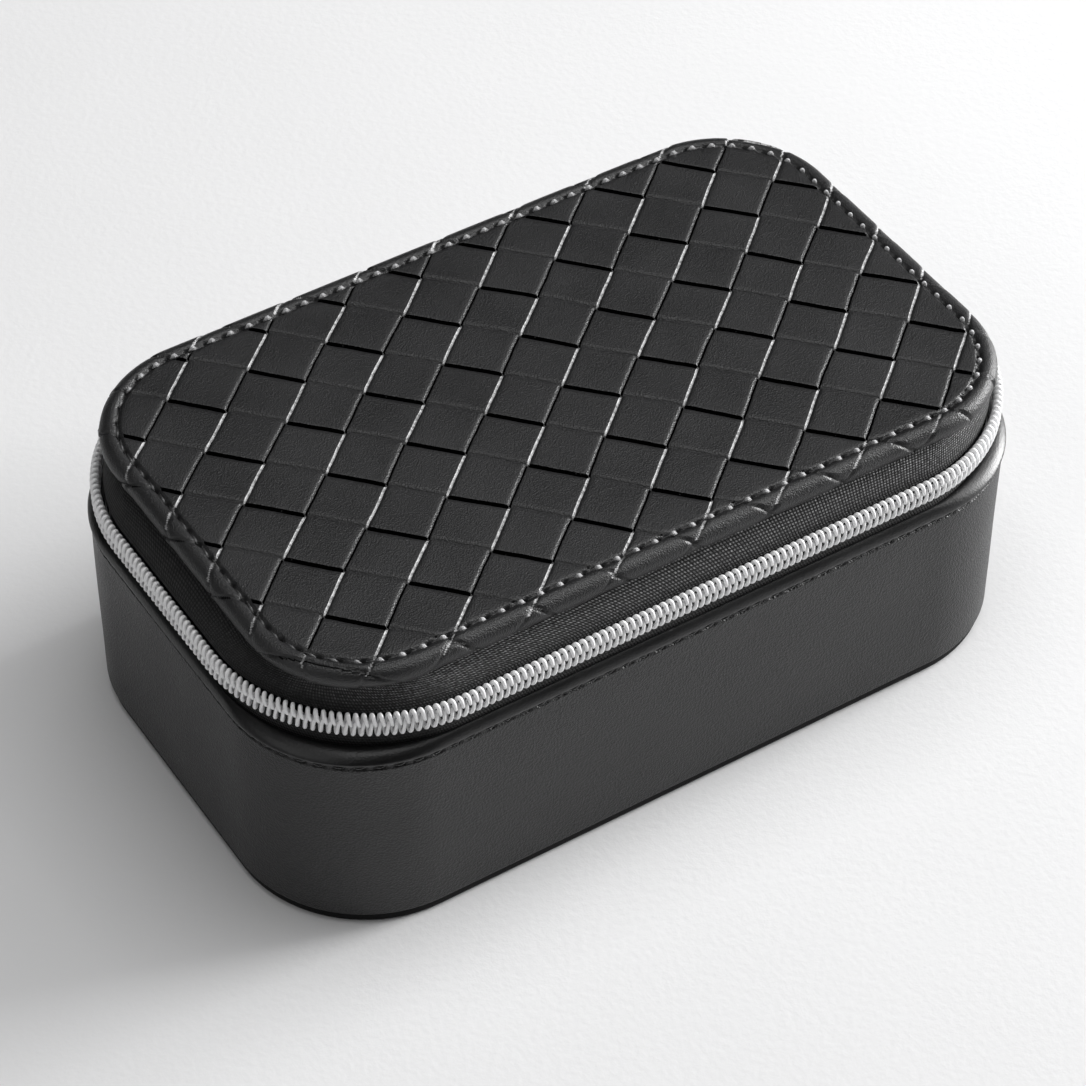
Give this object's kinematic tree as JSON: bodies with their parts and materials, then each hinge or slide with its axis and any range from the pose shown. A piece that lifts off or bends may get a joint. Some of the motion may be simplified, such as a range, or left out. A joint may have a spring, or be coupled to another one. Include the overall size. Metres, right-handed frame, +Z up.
{
  "type": "jewellery case",
  "caption": "Rounded rectangular leather jewellery case with a woven-leather lid on a leather hinge, closed by a coil zip round three sides.",
  "frame": {"origin": "centre of the face that the case rests on", "axes": "+X along the long side, +Y towards the hinge, +Z up"},
  "size_m": [0.1668, 0.1041, 0.0639],
  "materials": {
    "smooth_leather": "satin fine grain",
    "woven_leather": "satin, embossed basket weave",
    "board": "plain fibre board, hidden",
    "foam": "soft foam, hidden",
    "lining": "short-pile suede cloth",
    "pocket": "gathered cloth",
    "elastic": "ribbed elastic",
    "zip_tape": "woven tape",
    "zip_coil": "bright silver coil",
    "zip_metal": "polished cast metal",
    "thread": "waxed thread"
  },
  "bodies": {
    "base": {"base_bottom_panel": "smooth_leather", "base_floor_board": "board", "base_wall_board": "board", "base_wall_leather": "smooth_leather", "base_top_roll": "smooth_leather", "base_wall_stitching": "thread", "base_lining_wall": "lining", "base_lining_floor": "lining", "divider_cross": "lining", "divider_long": "lining", "divider_short": "lining", "zip_tape_lower": "zip_tape", "zip_coil_lower": "zip_coil", "zip_stops_lower": "zip_metal", "hinge_leather": "smooth_leather", "hinge_lining": "lining", "zip_end_gusset_left": "zip_tape", "zip_end_gusset_right": "zip_tape", "ring_roll_1": "lining", "ring_roll_2": "lining", "ring_roll_3": "lining", "ring_roll_4": "lining", "ring_roll_5": "lining", "ring_roll_6": "lining"},
    "lid": {"lid_woven_leather": "woven_leather", "lid_edge_cord": "foam", "lid_foam_pad": "foam", "lid_board": "board", "lid_stitching": "thread", "lid_lining_panel": "lining", "lid_pocket": "pocket", "lid_pocket_elastic": "elastic", "zip_tape_upper": "zip_tape", "zip_coil_upper": "zip_coil", "zip_stops_upper": "zip_metal"},
    "zip_slider": {"zip_slider_body": "zip_metal", "zip_slider_bridge": "zip_metal"},
    "zip_pull": {"zip_pull_ring": "zip_metal", "zip_pull_tab": "zip_metal"}
  },
  "joints": [
    {"name": "lid_hinge", "type": "hinge", "parent": "base", "child": "lid", "pos_m": [0, 0.0506, 0.052], "axis": [-1, 0, 0], "range_deg": [0, 100], "deforming": ["hinge_leather", "hinge_lining", "zip_end_gusset_left", "zip_end_gusset_right"]},
    {"name": "slider_track", "type": "hinge", "parent": "base", "child": "zip_slider", "pos_m": [0.0493, 0.0173, 0.052], "axis": [0, 0, 1], "range_deg": [-56, 0]},
    {"name": "pull_swing", "type": "hinge", "parent": "zip_slider", "child": "zip_pull", "pos_m": [0.067, 0.05059, 0.052], "axis": [0.8829, -0.4695, 0], "range_deg": [-1, 75]}
  ]
}
